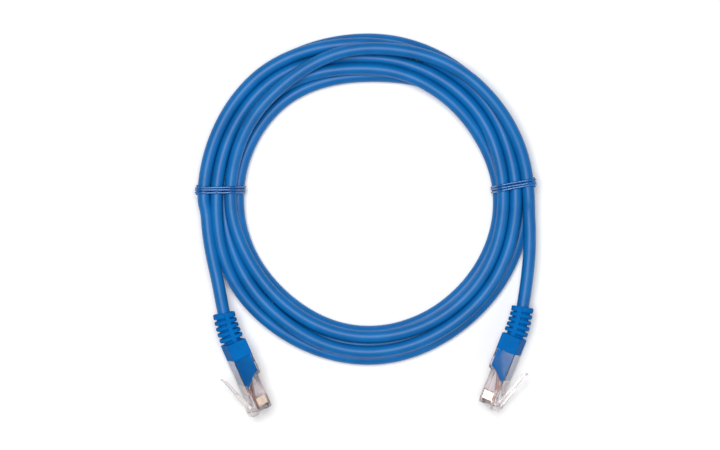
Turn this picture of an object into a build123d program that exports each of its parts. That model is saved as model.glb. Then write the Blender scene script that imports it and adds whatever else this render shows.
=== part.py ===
from build123d import *
import os
from math import cos, pi, radians, sin, sqrt, tan

os.makedirs("parts", exist_ok=True)

# A coiled ethernet patch cable, in millimetres, lying on the plane Z = 0 with the coil's eye
# round the origin. Both ends point towards -Y. Each plug lies on its narrow side.

# ---------------------------------------------------------------- cable
cable_diameter = 4.8
jacket_wall = 0.5
wire_diameter = 0.88
core_diameter = 0.5
wire_names = ["white_orange", "orange", "white_green", "blue", "white_blue", "green", "white_brown", "brown"]

# ---------------------------------------------------------------- coil
coil_inner_radius = 47.7
coil_outer_radius = 63.4
coil_inner_centre = (0.2, -0.9)
coil_outer_centre = (-1.4, 1.2)
coil_height = 9.6            # two layers of cable, nested
coil_edge_round = 3.0
top_turn_height = 10.9       # centre of the last turn, where it crosses over the two layers
top_turn_points = [(42, 60.9), (88, 57.6), (132, 54.6)]   # angle and radius about the eye

# ---------------------------------------------------------------- wire ties
tie_thickness = 1.1
tie_core_diameter = 0.5
tie_turns = 3
tie_pitch = 1.15
tie_clearance = 0.05
tie_knot_diameter = 1.7      # the twisted ends, folded flat against the bundle's edges
tie_knot_rise = 1.2          # above the middle of the bundle
tie_knot_standoff = 0.15     # how far a knot's inner side stands outside the turns' inner side
tie_overhang = 0.1           # how far a tie stands clear of the coil's inner and outer edges
tie_angles = {"left": 176.3, "right": 5.4}     # place about the coil's eye
tie_skews = {"left": 3.7, "right": 4.3}        # turned from square across the bundle

# ---------------------------------------------------------------- plug housing
# The plug's own frame: X runs from the boot to the nose, Y across the contacts, and Z from the
# contact side to the latch side. X = 0 is where the clear housing meets the boot.
plug_length = 21.46
plug_width = 11.68
rear_thickness = 7.8
nose_thickness = 6.6
step_start = 7.6             # where the contact side steps down towards the nose
step_end = 8.4
nose_round = 0.6
housing_round = 0.3
notch_start = 0.4            # small window in both narrow sides, beside the boot
notch_length = 2.3
notch_height = 2.3
notch_depth = 0.9
pocket_start = 3.4           # recess over the pressed-in strain relief bar
pocket_length = 3.4
pocket_width = 7.0
pocket_depth = 0.4

# ---------------------------------------------------------------- boot
boot_box_length = 6.4
ribbed_length = 11.6
boot_bend = 13.0             # degrees that the ribbed part bends towards the contact side
rib_count = 5
rib_pitch = 2.15
first_rib = 1.8              # middle of the rib nearest the box
rib_taper = 0.15             # each rib is this much smaller than the one before
rib_thickness = 1.55
rear_rib_thickness = 2.1
rib_width = 8.7              # across, in Z
rib_height = 8.6             # across, in Y
rib_corner = 3.0
rib_edge = 0.5
relief_wall = 0.75           # wall round the cable between the ribs
spine_width = 1.7
boot_box_round = 0.5
tongue_width = 10.8
tongue_latch_z = 3.5
tongue_contact_z = -3.2
tongue_tip_x = 11.2
tongue_full_end = 6.9        # its contact side stops here, then it slopes up to the tip
tongue_slope_start = (8.1, -0.7)
tongue_tip_low = 1.3         # the tip's lower corner, below the tongue's latch side
tongue_tip_chamfer = (0.8, 0.6)
bore_clearance = 0.1
tongue_clearance = 0.1

# ---------------------------------------------------------------- wires and contacts
jacket_end_x = 6.5           # how far the jacket reaches into the housing
row_gap = 0.92               # wire spacing where the wires leave the jacket, two rows of four
fan_start_x = 10.5
fan_start_rise = 1.1
fan_end_x = 14.0
row_start_x = 16.2
wire_end_x = 20.3
row_z = 2.1                  # height of the single row of wires under the contacts
throat_start_x = 7.6
throat_width = 5.6
throat_height = 4.2
wire_bend = 2.0
channel_clearance = 0.06
contact_pitch = 1.02
contact_thickness = 0.35
contact_start_x = 16.6
contact_length = 3.1
contact_recess = 0.5         # contact edge below the housing's contact face
contact_slot_clearance = 0.06
teeth_count = 3
tooth_flat = 0.2
slot_mouth_depth = 1.3

# ---------------------------------------------------------------- latch
latch_pivot_x = 18.9
latch_pivot_height = 0.95    # above the latch side
latch_knuckle_radius = 0.6
latch_gap = 0.15
latch_rest_angle = 18.0
latch_travel = 15.0
latch_wide_width = 6.0
latch_wide_length = 6.9
latch_tab_width = 3.2
latch_length = 14.9
latch_thickness = 1.0
latch_tip_length = 1.6       # the end of the thumb tab, thinner and turned up
latch_tip_taper = 0.8
latch_tip_rise = 0.5
anchor_reach = 1.3           # how far the latch's root stands in front of the nose
anchor_low_z = 2.0           # lower side of the root, on the nose

# ---------------------------------------------------------------- how the two ends lie
# Where the cable enters each boot, then heading from -Y, nose-down pitch and roll, in degrees.
left_boot_entry = (-55.1, -43.2, 9.5)
left_heading = 23.6
left_pitch = 5.0
right_boot_entry = (58.9, -40.9, 7.5)
right_heading = -21.7
right_pitch = 2.0
plug_roll = 14.5

# Centre line of each lead, from just behind its boot into the outermost turn of the coil.
lead_straight = 6.0          # run that leaves the boot in line with it
lead_bend_share = 0.45       # part of the shorter run that each bend takes up
left_route = [
    (-57.6, -30.3, 9.0),
    (-59.7, -21.4, 7.9),
    (-61.2, -12.4, 7.2),
    (-61.7, -5.0, 7.1),
]
right_route = [
    (60.8, -28.0, 7.4),
    (61.5, -20.0, 7.2),
    (61.6, -12.0, 7.1),
    (61.2, -4.0, 7.1),
]
left_lead_end_y = -33.6      # where each lead's tube stops and the coil's solid takes over
right_lead_end_y = -23.0

latch_z = rear_thickness / 2
contact_z = -rear_thickness / 2
nose_contact_z = latch_z - nose_thickness
bore_radius = cable_diameter / 2 + bore_clearance
wire_count = len(wire_names)
parts = {}


def box_between(low, high):
    size = [b - a for a, b in zip(low, high)]
    middle = [(a + b) / 2 for a, b in zip(low, high)]
    return Pos(*middle) * Box(*size)


def side_profile(points, width):
    """A block with an outline in the XZ plane, centred on Y."""
    outline = Plane.XZ * make_face(Polyline(*points, close=True))
    return extrude(outline, width / 2, both=True)


# ---------------------------------------------------------------- boot
def boot_station(distance):
    """The boot's section plane at a distance behind its box, along the bent centre line."""
    radius = ribbed_length / radians(boot_bend)
    turn = distance / radius
    place = (-boot_box_length - radius * sin(turn), 0, -radius * (1 - cos(turn)))
    return Plane(origin=place, x_dir=(0, 1, 0), z_dir=(-cos(turn), 0, -sin(turn)))


def boot_curve():
    return ThreePointArc(*[boot_station(part * ribbed_length).origin for part in (0, 0.5, 1)])


def tongue_profile():
    return [
        (-boot_box_length / 2, tongue_contact_z),
        (tongue_full_end, tongue_contact_z),
        tongue_slope_start,
        (tongue_tip_x, tongue_latch_z - tongue_tip_low),
        (tongue_tip_x, tongue_latch_z - tongue_tip_chamfer[1]),
        (tongue_tip_x - tongue_tip_chamfer[0], tongue_latch_z),
        (-boot_box_length / 2, tongue_latch_z),
    ]


def wire_throat():
    """The space that the wires fan out in, from the jacket to the single row."""
    half_row = (wire_count - 1) / 2 * contact_pitch + wire_diameter / 2 + channel_clearance
    half_wire = wire_diameter / 2 + channel_clearance
    fan_height = row_gap + 2 * half_wire + 2 * channel_clearance
    sections = [
        Plane.YZ.offset(throat_start_x) * Pos(0, fan_start_rise) * Rectangle(throat_width, throat_height),
        Plane.YZ.offset(fan_end_x + 0.2) * Pos(0, row_z) * Rectangle(2 * half_row, fan_height),
        Plane.YZ.offset(row_start_x) * Pos(0, row_z) * Rectangle(2 * half_row, 2 * half_wire),
    ]
    row = box_between(
        (row_start_x, -half_row, row_z - half_wire),
        (wire_end_x + channel_clearance, half_row, row_z + half_wire),
    )
    return loft(sections, ruled=True) + row


def make_boot():
    box = box_between(
        (-boot_box_length, -plug_width / 2, contact_z),
        (0, plug_width / 2, latch_z),
    )
    box = fillet(box.edges().filter_by(Axis.X) + box.faces().sort_by(Axis.X)[0].edges(), boot_box_round)
    start = boot_station(0)
    curve = boot_curve()
    relief = sweep(start * Circle(bore_radius + relief_wall), path=curve)
    spine = sweep(start * Rectangle(rib_height, spine_width), path=curve)
    boot = box + relief + spine
    for index in range(rib_count):
        shrink = rib_taper * index
        outline = RectangleRounded(rib_height - shrink, rib_width - shrink, rib_corner)
        if index == rib_count - 1:
            rib = extrude(boot_station(ribbed_length) * outline, -rear_rib_thickness)
        else:
            rib = extrude(boot_station(first_rib + index * rib_pitch) * outline, rib_thickness / 2, both=True)
        boot += fillet(rib.edges(), rib_edge)
    tongue = side_profile(tongue_profile(), tongue_width)
    boot += tongue - wire_throat()
    bore = sweep(start * Circle(bore_radius), path=curve)
    bore += Plane.YZ.offset(-boot_box_length) * extrude(Circle(bore_radius), boot_box_length + tongue_tip_x)
    return boot - bore


# ---------------------------------------------------------------- housing
def make_housing():
    outline = [
        (0, contact_z),
        (step_start, contact_z),
        (step_end, nose_contact_z),
        (plug_length, nose_contact_z),
        (plug_length, latch_z),
        (0, latch_z),
    ]
    body = side_profile(outline, plug_width)
    nose_edges = body.faces().sort_by(Axis.X)[-1].edges().filter_by(Axis.Y)
    body = fillet(nose_edges, nose_round)
    body = fillet(body.edges().filter_by(Axis.X), housing_round)
    cavity = offset(Plane.XZ * make_face(Polyline(*tongue_profile(), close=True)), tongue_clearance)
    cavity = extrude(cavity, tongue_width / 2 + tongue_clearance, both=True)
    body -= cavity + wire_throat()
    slot_width = contact_thickness + 2 * contact_slot_clearance
    for index in range(wire_count):
        place = contact_y(index)
        body -= box_between(
            (contact_start_x - contact_slot_clearance, place - slot_width / 2, nose_contact_z - 1),
            (contact_start_x + contact_length + contact_slot_clearance, place + slot_width / 2, row_z),
        )
        body -= box_between(
            (contact_start_x + contact_length, place - slot_width / 2, nose_contact_z - 1),
            (plug_length + 1, place + slot_width / 2, nose_contact_z + slot_mouth_depth),
        )
    for side in (-1, 1):
        edge = side * plug_width / 2
        inner = side * (plug_width / 2 - notch_depth)
        body -= box_between(
            (notch_start, min(edge, inner) - (side < 0), contact_z - 1),
            (notch_start + notch_length, max(edge, inner) + (side > 0), contact_z + notch_height),
        )
    body -= box_between(
        (pocket_start, -pocket_width / 2, contact_z - 1),
        (pocket_start + pocket_length, pocket_width / 2, contact_z + pocket_depth),
    )
    return body + latch_anchor()


def latch_pivot():
    return (latch_pivot_x, 0, latch_z + latch_pivot_height)


def latch_anchor():
    """The root that the latch springs from, a lip round the nose, hollowed round the knuckle."""
    top = latch_z + latch_pivot_height + latch_knuckle_radius
    front = plug_length + anchor_reach
    inside = plug_length - nose_round
    outline = [
        (latch_pivot_x, latch_z - housing_round),
        (latch_pivot_x, top),
        (front, top),
        (front, anchor_low_z),
        (inside, anchor_low_z),
        (inside, latch_z - housing_round),
    ]
    ledge = side_profile(outline, latch_wide_width)
    ledge = fillet(ledge.faces().sort_by(Axis.X)[-1].edges().filter_by(Axis.Y), nose_round)
    swing = Plane.XZ * Pos(latch_pivot_x, latch_pivot()[2]) * Circle(latch_knuckle_radius + latch_gap)
    return ledge - extrude(swing, latch_wide_width, both=True)


def contact_y(index):
    return (index - (wire_count - 1) / 2) * contact_pitch


# ---------------------------------------------------------------- latch
def make_latch():
    """Knuckle, wide catch and narrow thumb tab, drawn level and then raised to the rest angle."""
    half = latch_thickness / 2
    thin = half * latch_tip_taper
    tip_start = latch_tip_length - latch_length
    side = [
        (0, -half),
        (0, half),
        (-latch_wide_length, half),
        (tip_start, thin),
        (-latch_length, thin + latch_tip_rise),
        (-latch_length, latch_tip_rise - thin / 2),
        (tip_start, -thin),
        (-latch_wide_length, -half),
    ]
    arm = side_profile(side, latch_wide_width)
    narrow = (latch_wide_width - latch_tab_width) / 2
    for edge in (-1, 1):
        middle = edge * (latch_tab_width + narrow) / 2
        trim = Pos(-(latch_wide_length + latch_length + 1) / 2, middle, 0)
        arm -= trim * Box(latch_length + 1 - latch_wide_length, narrow, 4 * latch_thickness)
    tip_edges = arm.faces().sort_by(Axis.X)[0].edges().filter_by(Axis.Z)
    arm = fillet(tip_edges, latch_tab_width / 3)
    knuckle = extrude(Plane.XZ * Circle(latch_knuckle_radius), latch_wide_width / 2, both=True)
    return Pos(*latch_pivot()) * Rot(0, latch_rest_angle, 0) * (arm + knuckle)


# ---------------------------------------------------------------- wires and contacts
def wire_path(index):
    row = 1 if index % 2 == 0 else -1
    column = (index // 2 - (wire_count / 2 - 1) / 2) * row_gap
    step = row * row_gap / 2
    points = [
        (jacket_end_x, column, step),
        (fan_start_x, column, step + fan_start_rise),
        (fan_end_x, contact_y(index), row_z + step),
        (row_start_x, contact_y(index), row_z),
        (wire_end_x, contact_y(index), row_z),
    ]
    return FilletPolyline(*points, radius=wire_bend)


def swept_round(path, diameter):
    start = Plane(origin=path @ 0, z_dir=path % 0)
    return sweep(start * Circle(diameter / 2), path=path)


def make_contact(index):
    """A blade with teeth that pierce the wire down to its core."""
    low = nose_contact_z + contact_recess
    high = row_z - wire_diameter / 2 - channel_clearance
    tip = row_z - core_diameter / 2
    pitch = contact_length / teeth_count
    points = [(contact_start_x, low)]
    for tooth in range(teeth_count):
        start = contact_start_x + tooth * pitch
        middle = start + pitch / 2
        points += [(start, high), (middle - tooth_flat / 2, tip), (middle + tooth_flat / 2, tip)]
    points += [(contact_start_x + contact_length, high), (contact_start_x + contact_length, low)]
    blade = side_profile(points, contact_thickness)
    return Pos(0, contact_y(index), 0) * blade


def make_jacket_end():
    """The last stretch of the cable's jacket, through the boot and into the housing."""
    start = boot_station(0)
    ring = Circle(cable_diameter / 2) - Circle(cable_diameter / 2 - jacket_wall)
    bent = sweep(start * ring, path=boot_curve())
    straight = Plane.YZ.offset(-boot_box_length) * extrude(ring, boot_box_length + jacket_end_x)
    return bent + straight


def make_plug():
    plug = {"boot": make_boot(), "plug_housing": make_housing(), "latch": make_latch()}
    plug["jacket_end"] = make_jacket_end()
    cores = []
    for index, colour in enumerate(wire_names):
        path = wire_path(index)
        contact = make_contact(index)
        core = swept_round(path, core_diameter)
        plug[f"contact_{index + 1}"] = contact
        plug[f"wire_{index + 1}_{colour}"] = swept_round(path, wire_diameter) - core - contact
        cores.append(core)
    plug["wire_cores"] = Compound(children=cores)
    return plug


# ---------------------------------------------------------------- placing the ends
def plug_plane(boot_entry, heading, pitch, out_sign):
    """The plug's frame: its boot entry lands on a point, and its latch side faces outwards."""
    turn = radians(heading)
    dip = radians(pitch)
    roll = radians(plug_roll)
    forward = Vector(sin(turn) * cos(dip), -cos(turn) * cos(dip), -sin(dip))
    outward = Vector(out_sign * cos(turn), out_sign * sin(turn), 0)
    upward = outward.cross(forward) * -out_sign
    latch_side = outward * cos(roll) + upward * sin(roll)
    turned = Plane(origin=(0, 0, 0), x_dir=forward, z_dir=latch_side)
    entry = turned.from_local_coords(boot_station(ribbed_length).origin)
    return Plane(origin=Vector(*boot_entry) - entry, x_dir=forward, z_dir=latch_side)


# ---------------------------------------------------------------- cord routes
def whole_route(place, route):
    """A lead's points: its boot entry, a straight run out of the boot, and the chosen points."""
    entry = place.from_local_coords(boot_station(ribbed_length).origin)
    ahead = place.from_local_coords((boot_station(ribbed_length) * Pos(0, 0, lead_straight)).position)
    return [entry, ahead] + [Vector(*point) for point in route]


def cord_tube(points, label):
    """A round tube on straight runs joined by tangent arcs as large as the runs allow."""
    runs = [after - before for before, after in zip(points, points[1:])]
    radii = []
    for before, after in zip(runs, runs[1:]):
        half_turn = radians(before.get_angle(after)) / 2
        radii.append(lead_bend_share * min(before.length, after.length) / tan(half_turn))
    path = FilletPolyline(*points, radius=radii)
    tube = swept_round(path, cable_diameter)
    filled = tube.volume / (pi * cable_diameter**2 / 4 * path.length)
    print(label, "lead length", round(path.length, 2), "radii", [round(radius, 1) for radius in radii])
    print(label, "lead volume over section times length", round(filled, 4))
    print(label, "lead points", [tuple(round(value, 2) for value in point) for point in points])
    return tube


# ---------------------------------------------------------------- ties
def edge_radius(angle, centre, radius):
    """Distance from the eye's middle to a circle that is off centre, at an angle."""
    turn = radians(angle)
    along = centre[0] * cos(turn) + centre[1] * sin(turn)
    across = centre[0] * sin(turn) - centre[1] * cos(turn)
    return along + sqrt(radius**2 - across**2)


def bundle_edges(side):
    inner = edge_radius(tie_angles[side], coil_inner_centre, coil_inner_radius)
    outer = edge_radius(tie_angles[side], coil_outer_centre, coil_outer_radius)
    return inner, outer


def tie_loop_size(side):
    inner, outer = bundle_edges(side)
    return outer - inner + 2 * tie_overhang, coil_height


def tie_plane(side):
    inner, outer = bundle_edges(side)
    place = radians(tie_angles[side])
    turn = radians(tie_angles[side] + tie_skews[side])
    middle = (inner + outer) / 2
    height = tie_thickness + tie_clearance + coil_height / 2
    origin = (middle * cos(place), middle * sin(place), height)
    return Plane(origin=origin, x_dir=(cos(turn), sin(turn), 0), z_dir=(-sin(turn), cos(turn), 0))


def make_tie(side):
    """Turns of coated wire side by side, joined by the knots of the twisted ends."""
    place = tie_plane(side)
    reach = tie_clearance + tie_thickness / 2
    width, height = tie_loop_size(side)
    loop = RectangleRounded(width + 2 * reach, height + 2 * reach, coil_edge_round + reach).wire()
    turn_coat = swept_round(loop, tie_thickness)
    turn_core = swept_round(loop, tie_core_diameter)
    offsets = [(turn - (tie_turns - 1) / 2) * tie_pitch for turn in range(tie_turns)]
    cores = [Pos(0, 0, along) * turn_core for along in offsets]
    coat = Part()
    for along in offsets:
        coat += Pos(0, 0, along) * turn_coat
    knot_length = offsets[-1] - offsets[0] + tie_thickness
    knot_spacing = width + 2 * (tie_clearance + tie_knot_standoff) + tie_knot_diameter
    for edge in (-1, 1):
        knot = Pos(edge * knot_spacing / 2, tie_knot_rise, 0) * Cylinder(tie_knot_diameter / 2, knot_length)
        coat += fillet(knot.edges(), tie_knot_diameter / 4)
    coat -= cores
    return place.location * coat, place.location * Compound(children=cores)


# ---------------------------------------------------------------- coil
def make_coil(stubs):
    """The coil's outer shape: an uneven ring, the last turn that crosses over its top, and stubs."""
    outer = Pos(*coil_outer_centre) * Circle(coil_outer_radius)
    inner = Pos(*coil_inner_centre) * Circle(coil_inner_radius)
    ring = extrude(outer - inner, coil_height)
    ring = fillet(ring.edges().filter_by(GeomType.CIRCLE), coil_edge_round)
    crossing = []
    for angle, radius in top_turn_points:
        turn = radians(angle)
        crossing.append((radius * cos(turn), radius * sin(turn), top_turn_height))
    arc = ThreePointArc(*crossing)
    ring += swept_round(arc, cable_diameter)
    for end in (crossing[0], crossing[-1]):
        ring += Pos(*end) * Sphere(cable_diameter / 2)
    for stub in stubs:
        ring += stub
    band = tie_turns * tie_pitch + tie_thickness
    for side in tie_angles:
        width, height = tie_loop_size(side)
        loop = RectangleRounded(width, height, coil_edge_round)
        groove = extrude(Rectangle(2 * width, 2 * width) - loop, band / 2, both=True)
        ring -= tie_plane(side).location * groove
    return ring


# ---------------------------------------------------------------- the whole cable
plug = make_plug()
ends = {
    "left": (plug_plane(left_boot_entry, left_heading, left_pitch, -1), left_route, left_lead_end_y),
    "right": (plug_plane(right_boot_entry, right_heading, right_pitch, 1), right_route, right_lead_end_y),
}
stubs = []
for side, (place, route, end_y) in ends.items():
    for name, solid in plug.items():
        parts[f"{side}_{name}"] = place.location * solid
    tube = cord_tube(whole_route(place, route), side)
    cut = Plane(origin=(0, end_y, 0), z_dir=(0, 1, 0))
    stubs.append(split(tube, bisect_by=cut, keep=Keep.TOP))
    parts[f"{side}_lead"] = split(tube, bisect_by=cut, keep=Keep.BOTTOM)
    parts[f"{side}_tie_coat"], parts[f"{side}_tie_wire"] = make_tie(side)
    pivot = place.from_local_coords(latch_pivot())
    print(side, "latch pivot", [round(v, 4) for v in pivot], "axis", [round(v, 6) for v in -place.y_dir])
    nose = place.from_local_coords((plug_length, 0, (latch_z + nose_contact_z) / 2))
    print(side, "latch travel", latch_travel)
    print(side, "nose", [round(v, 4) for v in nose], "forward", [round(v, 6) for v in place.x_dir])
parts["coil"] = make_coil(stubs)

for name, solid in parts.items():
    export_step(solid, f"parts/{name}.step")
everything = Compound(children=list(parts.values())).bounding_box()
print(len(parts), "nodes, size", everything.min, everything.max)
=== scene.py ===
import bpy
import numpy as np
from math import cos, pi, radians, sin
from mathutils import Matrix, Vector


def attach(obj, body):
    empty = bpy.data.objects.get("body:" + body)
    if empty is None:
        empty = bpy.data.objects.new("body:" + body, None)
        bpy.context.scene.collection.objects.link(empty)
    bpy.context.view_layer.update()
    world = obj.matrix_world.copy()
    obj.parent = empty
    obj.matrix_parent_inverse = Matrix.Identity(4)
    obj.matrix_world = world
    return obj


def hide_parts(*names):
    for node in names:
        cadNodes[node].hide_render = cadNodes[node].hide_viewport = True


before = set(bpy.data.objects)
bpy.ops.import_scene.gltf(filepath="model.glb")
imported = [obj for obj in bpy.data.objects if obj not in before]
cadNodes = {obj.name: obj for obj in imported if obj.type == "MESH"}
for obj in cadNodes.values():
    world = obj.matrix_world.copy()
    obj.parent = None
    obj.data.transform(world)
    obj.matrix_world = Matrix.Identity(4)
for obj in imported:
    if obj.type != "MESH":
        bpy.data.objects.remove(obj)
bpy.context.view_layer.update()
bpy.ops.object.select_all(action="DESELECT")
rootBody = "cable"
print("frame loaded:", len(cadNodes), "nodes")

# ---- camera, straight down, a long lens far above the table
cameraSetup = {
    "centre": (-0.0032, -0.0097),
    "height": 1.2,
    "viewWidth": 0.2748,      # metres across the picture at the cable's height
    "sensor": 36.0,
    "subjectHeight": 0.007,
    "farthest": 10,
}


def makeCamera(setup):
    bpy.ops.object.camera_add(location=(*setup["centre"], setup["height"]), rotation=(0, 0, 0))
    camera = bpy.context.object
    camera.name = "overheadCamera"
    camera.data.sensor_width = setup["sensor"]
    distance = setup["height"] - setup["subjectHeight"]
    camera.data.lens = setup["sensor"] * distance / setup["viewWidth"]
    camera.data.clip_end = setup["farthest"]
    bpy.context.scene.camera = camera
    bpy.context.scene.view_settings.view_transform = "Standard"


makeCamera(cameraSetup)
print("camera placed")

# ---- the cord: two leads and the coil between them, one line from boot to boot
cord = {
    "diameter": 0.0048,
    "length": 2.0,
    "pointsPerTurn": 36,
    "lastTurnEnd": 5.5,
    "low": 0.0024,           # heights of the strands' centre lines in the bundle's layers
    "middle": 0.0045,
    "high": 0.0066,
    "top": 0.0109,
    "tieLift": 0.0012,
    "tieAngles": (176.3, 5.4),
    "tieHalf": 4.0,          # degrees to each side over which a tie holds the strands at full lift
    "tieReach": 9.0,         # degrees to each side over which that lift fades out
}
settle = {
    "passes": 160,
    "push": 0.8,             # how much of each overlap one pass takes out
    "pullAcross": 0.04,      # pull back to the planned place, across and in height
    "pullUp": 0.02,
    "sink": 0.00002,
    "evenOut": 0.4,          # share of the smoothed line along the strand
}
stationsPerTurn = 8
leftLead = [
    (-0.0551, -0.0432, 0.0095),
    (-0.05625, -0.03731, 0.00967),
    (-0.0576, -0.0303, 0.0090),
    (-0.0597, -0.0214, 0.0079),
    (-0.0612, -0.0124, 0.0072),
    (-0.0617, -0.0050, 0.0071),
]
rightLead = [
    (0.0589, -0.0409, 0.0075),
    (0.05985, -0.03498, 0.00737),
    (0.0608, -0.0280, 0.0074),
    (0.0615, -0.0200, 0.0072),
    (0.0616, -0.0120, 0.0071),
    (0.0612, -0.0040, 0.0071),
]

# The bundle's edges about the eye, every 45 degrees clockwise from the left, in metres.
bundleInner = [0.0481, 0.0481, 0.0454, 0.0469, 0.0489, 0.0485, 0.0489, 0.0473]
bundleOuter = [0.0649, 0.0664, 0.0645, 0.0637, 0.0628, 0.0618, 0.0634, 0.0630]

# Each pass round the eye: how far across the bundle it lies, and in which layer, at each station.
coilPasses = [
    [(1.0, "high"), (0.93, "high"), (0.84, "high"), (0.75, "high"),
     (0.50, "high"), (0.75, "high"), (0.75, "high"), (0.60, "high")],
    [(0.42, "low"), (0.33, "middle"), (0.17, "high"), (0.08, "high"),
     (0.0, "low"), (0.0, "low"), (0.0, "low"), (0.0, "low")],
    [(0.0, "low"), (0.0, "low"), (0.0, "low"), (0.20, "low"),
     (0.45, "low"), (0.45, "low"), (0.45, "low"), (0.62, "low")],
    [(0.83, "low"), (0.92, "low"), (0.93, "low"), (0.93, "low"),
     (0.93, "low"), (0.95, "low"), (1.0, "low"), (0.95, "middle")],
    [(0.63, "high"), (0.60, "high"), (0.44, "middle"), (0.30, "high"),
     (0.03, "high"), (0.25, "high"), (0.12, "high"), (0.15, "high")],
    [(0.22, "high"), (0.28, "top"), (0.70, "top"), (0.92, "top"), (1.02, "high")],
]


def easedBetween(values, place):
    index = min(int(place), len(values) - 2)
    part = place - index
    part = part * part * (3 - 2 * part)
    return values[index] * (1 - part) + values[index + 1] * part


def coilStations():
    across = [item[0] for line in coilPasses for item in line]
    layers = [cord[item[1]] for line in coilPasses for item in line]
    steps = round(cord["lastTurnEnd"] * cord["pointsPerTurn"])
    rows = []
    for step in range(steps + 1):
        place = step / cord["pointsPerTurn"] * stationsPerTurn
        around = place % stationsPerTurn
        inner = easedBetween(bundleInner + bundleInner[:1], around) + cord["diameter"] / 2
        outer = easedBetween(bundleOuter + bundleOuter[:1], around) - cord["diameter"] / 2
        share = easedBetween(across, place)
        rows.append((inner + (outer - inner) * share, easedBetween(layers, place)))
    return np.array(rows)


def settleTurns(rows):
    perTurn = cord["pointsPerTurn"]
    radius = cord["diameter"] / 2
    aim = rows.copy()
    floor = np.full(len(rows), radius)
    for step in range(len(rows)):
        angle = 180 - 360 * step / perTurn
        for tie in cord["tieAngles"]:
            gap = abs((angle - tie + 180) % 360 - 180)
            lift = max(0.0, 1 - max(0.0, gap - cord["tieHalf"]) / cord["tieReach"])
            floor[step] = max(floor[step], radius + cord["tieLift"] * lift * lift * (3 - 2 * lift))
    for sweep in range(settle["passes"]):
        move = np.zeros_like(rows)
        for station in range(perTurn):
            here = list(range(station, len(rows), perTurn))
            for one in range(len(here)):
                for other in range(one + 1, len(here)):
                    apart = rows[here[other]] - rows[here[one]]
                    distance = max(np.hypot(*apart), 1e-6)
                    if distance < cord["diameter"]:
                        push = apart / distance * (cord["diameter"] - distance) / 2
                        move[here[one]] -= push
                        move[here[other]] += push
        rows = rows + move * settle["push"]
        rows += (aim - rows) * np.array([settle["pullAcross"], settle["pullUp"]])
        rows[:, 1] -= settle["sink"]
        offset = rows - aim
        smooth = offset.copy()
        smooth[1:-1] = (offset[:-2] + 2 * offset[1:-1] + offset[2:]) / 4
        rows = aim + offset * (1 - settle["evenOut"]) + smooth * settle["evenOut"]
        rows[:, 1] = np.maximum(rows[:, 1], floor)
    return rows


settledRows = settleTurns(coilStations())


def coilPoints():
    points = []
    for step, (radius, height) in enumerate(settledRows):
        angle = pi - 2 * pi * step / cord["pointsPerTurn"]
        points.append((radius * cos(angle), radius * sin(angle), height))
    return points


def roundCurve(name, points, diameter, closed=False, sides=8, steps=6):
    curve = bpy.data.curves.new(name, "CURVE")
    curve.dimensions = "3D"
    line = curve.splines.new("NURBS")
    line.points.add(len(points) - 1)
    for place, point in zip(line.points, points):
        place.co = (*point, 1)
    line.order_u = 3
    line.use_cyclic_u = closed
    line.use_endpoint_u = not closed
    line.resolution_u = steps
    curve.bevel_depth = diameter / 2
    curve.bevel_resolution = sides
    curve.use_fill_caps = True
    piece = bpy.data.objects.new(name, curve)
    bpy.context.collection.objects.link(piece)
    return piece


def toMesh(piece):
    bpy.ops.object.select_all(action="DESELECT")
    piece.select_set(True)
    bpy.context.view_layer.objects.active = piece
    bpy.ops.object.convert(target="MESH")
    piece = bpy.context.object
    piece.data.polygons.foreach_set("use_smooth", [True] * len(piece.data.polygons))
    piece.select_set(False)
    return piece


# The centre line is the same curve without its thickness; it is made and removed again.
cordLine = leftLead + coilPoints() + rightLead[::-1]
centreCurve = toMesh(roundCurve("cordCentre", cordLine, 0))
bpy.data.objects.remove(centreCurve)
cable = toMesh(roundCurve("patchCable", cordLine, cord["diameter"]))
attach(cable, rootBody)
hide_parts("coil", "left_lead", "right_lead")

# ---- the two wire ties, wound round the settled strands
tie = {
    "diameter": 0.0009,
    "gap": 0.00003,
    "turns": 3,
    "points": 40,
    "spacing": 0.00092,
    "skews": (3.7, 4.3),
    "crossing": 0.0004,
    "endLength": 0.0032,     # the twisted ends, folded along the bundle's outer edge
    "endPitch": 0.0016,
    "endRadius": 0.00045,
    "endInset": 0.0010,
    "endRise": 0.0016,
    "endPoints": 14,
    "leadNearness": 3,       # degrees within which a lead's point counts as a strand under the tie
    "ringPoints": 36,
}


def strandsAt(angle):
    # where the strands cut the half plane at this angle, as radius and height
    perTurn = cord["pointsPerTurn"]
    place = ((180 - angle) % 360) / 360 * perTurn
    found = []
    while place <= len(settledRows) - 1:
        low = int(place)
        high = min(low + 1, len(settledRows) - 1)
        found.append(settledRows[low] * (1 - place + low) + settledRows[high] * (place - low))
        place += perTurn
    for lead in (leftLead, rightLead):
        rows = np.array([(np.hypot(x, y), z, np.degrees(np.arctan2(y, x)) % 360) for x, y, z in lead])
        gaps = np.abs((rows[:, 2] - angle + 180) % 360 - 180)
        if gaps.min() < tie["leadNearness"]:
            found.append(rows[gaps.argmin()][:2])
    return np.array(found)


def turnsInwards(first, second, third):
    return np.cross(np.subtract(second, first), np.subtract(third, second)) <= 0


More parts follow.
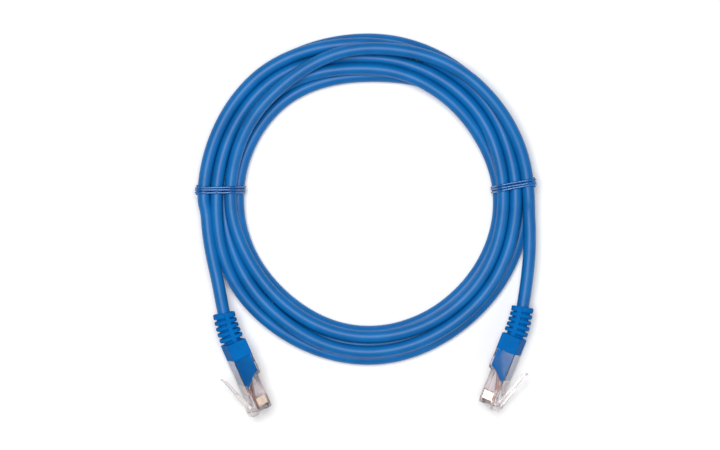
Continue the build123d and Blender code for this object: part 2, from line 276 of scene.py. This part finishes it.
def hullLine(angle):
    # the line that a wire pulled tight round the strands would follow
    reach = cord["diameter"] / 2 + tie["gap"] + tie["diameter"] / 2
    ring = []
    for radius, height in strandsAt(angle):
        for step in range(tie["ringPoints"]):
            turn = 2 * pi * step / tie["ringPoints"]
            ring.append((radius + reach * cos(turn), max(height + reach * sin(turn), tie["diameter"] / 2)))
    ring = sorted(set(ring))
    sides = []
    for order in (ring, ring[::-1]):
        side = []
        for point in order:
            while len(side) > 1 and turnsInwards(side[-2], side[-1], point):
                side.pop()
            side.append(point)
        sides += side[:-1]
    outline = np.array(sides + sides[:1])
    along = np.concatenate([[0], np.cumsum(np.hypot(*np.diff(outline, axis=0).T))])
    places = np.linspace(0, along[-1], tie["points"], endpoint=False)
    return np.stack([np.interp(places, along, outline[:, axis]) for axis in (0, 1)], axis=1)


def makeTie(name, angle, skew):
    outline = hullLine(angle)
    middle = outline[:, 0].mean()
    turn = radians(angle)
    outwards = Vector((cos(turn), sin(turn), 0))
    sideways = Vector((-sin(turn), cos(turn), 0))

    def place(radius, height, shift):
        slant = shift + (radius - middle) * sin(radians(skew))
        return outwards * radius + sideways * slant + Vector((0, 0, height))

    pieces = []
    for index in range(tie["turns"]):
        share = (index - (tie["turns"] - 1) / 2) * tie["spacing"]
        points = []
        for step, (radius, height) in enumerate(outline):
            sway = tie["crossing"] * (index - 1) * 0.5 * cos(2 * pi * step / len(outline) + index)
            points.append(place(radius, height, share + sway))
        pieces.append(roundCurve(name + str(index), points, tie["diameter"], closed=True, sides=3, steps=3))
    edge = outline[outline[:, 0].argmax()]
    for strand in range(2):
        points = []
        for step in range(tie["endPoints"]):
            part = step / (tie["endPoints"] - 1)
            twist = 2 * pi * part * tie["endLength"] / tie["endPitch"] + pi * strand
            radius = edge[0] - (tie["endInset"] - tie["endRadius"] * cos(twist))
            height = edge[1] + tie["endRise"] + tie["endRadius"] * sin(twist)
            points.append(place(radius, height, (part - 0.5) * tie["endLength"]))
        pieces.append(roundCurve(name + "End" + str(strand), points, tie["diameter"], sides=3, steps=3))
    pieces = [toMesh(piece) for piece in pieces]
    for piece in pieces:
        piece.select_set(True)
    bpy.context.view_layer.objects.active = pieces[0]
    bpy.ops.object.join()
    bpy.ops.object.select_all(action="DESELECT")
    wound = bpy.context.view_layer.objects.active
    wound.name = name
    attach(wound, rootBody)
    return wound


leftTie = makeTie("leftTie", cord["tieAngles"][0], tie["skews"][0])
rightTie = makeTie("rightTie", cord["tieAngles"][1], tie["skews"][1])
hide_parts("left_tie_coat", "left_tie_wire")
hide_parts("right_tie_coat", "right_tie_wire")
print("ties wound")


# ---- materials
def newMaterial(name):
    material = bpy.data.materials.new(name)
    material.use_nodes = True
    nodes = material.node_tree.nodes
    return material, nodes, material.node_tree.links, nodes["Principled BSDF"]


def shade(shader, **values):
    for name, value in values.items():
        shader.inputs[name.replace("_", " ")].default_value = value


def noiseBump(nodes, links, shader, scale, strength, distance, detail=4.0):
    coords = nodes.new("ShaderNodeTexCoord")
    noise = nodes.new("ShaderNodeTexNoise")
    noise.inputs["Scale"].default_value = scale
    noise.inputs["Detail"].default_value = detail
    bump = nodes.new("ShaderNodeBump")
    bump.inputs["Strength"].default_value = strength
    bump.inputs["Distance"].default_value = distance
    links.new(coords.outputs["Object"], noise.inputs["Vector"])
    links.new(noise.outputs["Fac"], bump.inputs["Height"])
    links.new(bump.outputs["Normal"], shader.inputs["Normal"])
    return coords


def tintedBase(nodes, links, shader, coords, scale, dark, light):
    noise = nodes.new("ShaderNodeTexNoise")
    noise.inputs["Scale"].default_value = scale
    noise.inputs["Detail"].default_value = 3.0
    ramp = nodes.new("ShaderNodeValToRGB")
    ramp.color_ramp.elements[0].position = 0.35
    ramp.color_ramp.elements[0].color = (*dark, 1)
    ramp.color_ramp.elements[1].position = 0.65
    ramp.color_ramp.elements[1].color = (*light, 1)
    links.new(coords.outputs["Object"], noise.inputs["Vector"])
    links.new(noise.outputs["Fac"], ramp.inputs["Fac"])
    links.new(ramp.outputs["Color"], shader.inputs["Base Color"])


def jacketMaterial():
    material, nodes, links, shader = newMaterial("jacketPvc")
    shade(shader, Roughness=0.4, Specular_IOR_Level=0.3)
    coords = noiseBump(nodes, links, shader, 2600.0, 0.12, 0.0002)
    tintedBase(nodes, links, shader, coords, 90.0, (0.0005, 0.115, 0.36), (0.001, 0.142, 0.43))
    return material


def bootMaterial():
    material, nodes, links, shader = newMaterial("bootPlastic")
    shade(shader, Roughness=0.6, Specular_IOR_Level=0.03)
    coords = noiseBump(nodes, links, shader, 3500.0, 0.15, 0.0002)
    tintedBase(nodes, links, shader, coords, 140.0, (0.0005, 0.118, 0.40), (0.001, 0.14, 0.46))
    return material


def clearMaterial(name, tint, bend):
    material, nodes, links, shader = newMaterial(name)
    shade(shader, Base_Color=(*tint, 1), Roughness=0.04, IOR=bend, Transmission_Weight=1.0)
    noiseBump(nodes, links, shader, 900.0, 0.03, 0.0001)
    return material


def metalMaterial(name, colour, roughness):
    material, nodes, links, shader = newMaterial(name)
    shade(shader, Metallic=1.0, Roughness=roughness)
    coords = noiseBump(nodes, links, shader, 5000.0, 0.06, 0.0001)
    darker = tuple(channel * 0.85 for channel in colour)
    tintedBase(nodes, links, shader, coords, 900.0, darker, colour)
    return material


def tieMaterial():
    material, nodes, links, shader = newMaterial("tieCoat")
    shade(shader, Roughness=0.22, Coat_Weight=0.3, Coat_Roughness=0.1)
    coords = noiseBump(nodes, links, shader, 1800.0, 0.08, 0.0002)
    tintedBase(nodes, links, shader, coords, 300.0, (0.001, 0.09, 0.31), (0.003, 0.13, 0.43))
    return material


def wireMaterial(name, colour, stripe):
    material, nodes, links, shader = newMaterial(name)
    shade(shader, Roughness=0.35)
    coords = noiseBump(nodes, links, shader, 4000.0, 0.08, 0.0001)
    if stripe is None:
        darker = tuple(channel * 0.8 for channel in colour)
        tintedBase(nodes, links, shader, coords, 500.0, darker, colour)
        return material
    bands = nodes.new("ShaderNodeTexWave")
    bands.bands_direction = "DIAGONAL"
    bands.inputs["Scale"].default_value = 110.0
    ramp = nodes.new("ShaderNodeValToRGB")
    ramp.color_ramp.interpolation = "CONSTANT"
    ramp.color_ramp.elements[0].color = (*stripe, 1)
    ramp.color_ramp.elements[1].position = 0.35
    ramp.color_ramp.elements[1].color = (*colour, 1)
    links.new(coords.outputs["Object"], bands.inputs["Vector"])
    links.new(bands.outputs["Fac"], ramp.inputs["Fac"])
    links.new(ramp.outputs["Color"], shader.inputs["Base Color"])
    return material


wireColours = {
    "orange": (0.62, 0.36, 0.27),
    "green": (0.22, 0.34, 0.25),
    "blue": (0.10, 0.16, 0.42),
    "brown": (0.30, 0.17, 0.14),
}
wireWhite = (0.80, 0.78, 0.74)
finishes = {
    "jacket": jacketMaterial(),
    "boot": bootMaterial(),
    "clear": clearMaterial("clearPolycarbonate", (0.94, 0.885, 0.90), 1.2),
    # The latch is the same clear plastic as the housing with a darker tint: painted shade for the darker
    # look it has under the light.
    "latch": clearMaterial("latchShadedPolycarbonate", (0.88, 0.82, 0.83), 1.45),
    "gold": metalMaterial("goldPlate", (0.86, 0.77, 0.60), 0.42),
    "copper": metalMaterial("copperCore", (0.85, 0.42, 0.22), 0.3),
    "steel": metalMaterial("tieSteel", (0.6, 0.6, 0.62), 0.3),
    "tie": tieMaterial(),
}
for colour, value in wireColours.items():
    finishes[colour] = wireMaterial("insulation_" + colour, value, None)
    finishes["white_" + colour] = wireMaterial("insulation_white_" + colour, wireWhite, value)
cable.data.materials.append(finishes["jacket"])
for wound in (leftTie, rightTie):
    wound.data.materials.append(finishes["tie"])


def finishFor(node):
    words = node.split("_", 1)[1] if "_" in node else node
    named = {
        "boot": "boot", "plug_housing": "clear", "latch": "latch", "jacket_end": "jacket",
        "wire_cores": "copper", "tie_coat": "tie", "tie_wire": "steel", "lead": "jacket",
    }
    if words in named:
        return finishes[named[words]]
    if words.startswith("contact_"):
        return finishes["gold"]
    if words.startswith("wire_"):
        return finishes[words.split("_", 2)[2]]
    return finishes["jacket"]


for name, node in cadNodes.items():
    node.data.materials.clear()
    node.data.materials.append(finishFor(name))
print("materials set:", len(finishes))

# ---- floor and light
studio = {"floorSize": 3.0, "floorColour": (0.95, 0.95, 0.95, 1), "ambient": 0.22}


def makeStudio(setup):
    bpy.ops.mesh.primitive_plane_add(size=setup["floorSize"], location=(0, 0, 0))
    floor = bpy.context.object
    floor.name = "paleFloor"
    material, nodes, links, shader = newMaterial("paleFloor")
    shade(shader, Base_Color=setup["floorColour"], Roughness=0.9, Specular_IOR_Level=0.1)
    floor.data.materials.append(material)
    world = bpy.data.worlds.new("softStudio")
    bpy.context.scene.world = world
    world.use_nodes = True
    world.node_tree.nodes["Background"].inputs["Color"].default_value = (1, 1, 1, 1)
    world.node_tree.nodes["Background"].inputs["Strength"].default_value = setup["ambient"]


def softLight(name, place, size, power, aim=(0, 0, 0)):
    bpy.ops.object.light_add(type="AREA", location=place)
    light = bpy.context.object
    light.name = name
    light.data.shape = "DISK"
    light.data.size = size
    light.data.energy = power
    direction = Vector(aim) - Vector(place)
    light.rotation_euler = direction.to_track_quat("-Z", "Y").to_euler()


makeStudio(studio)
softLight("keyLight", (-0.12, 0.10, 1.1), 0.7, 12.0)
softLight("fillLight", (0.6, -0.3, 0.7), 0.7, 1.2)
print("studio lit")

bpy.context.view_layer.update()
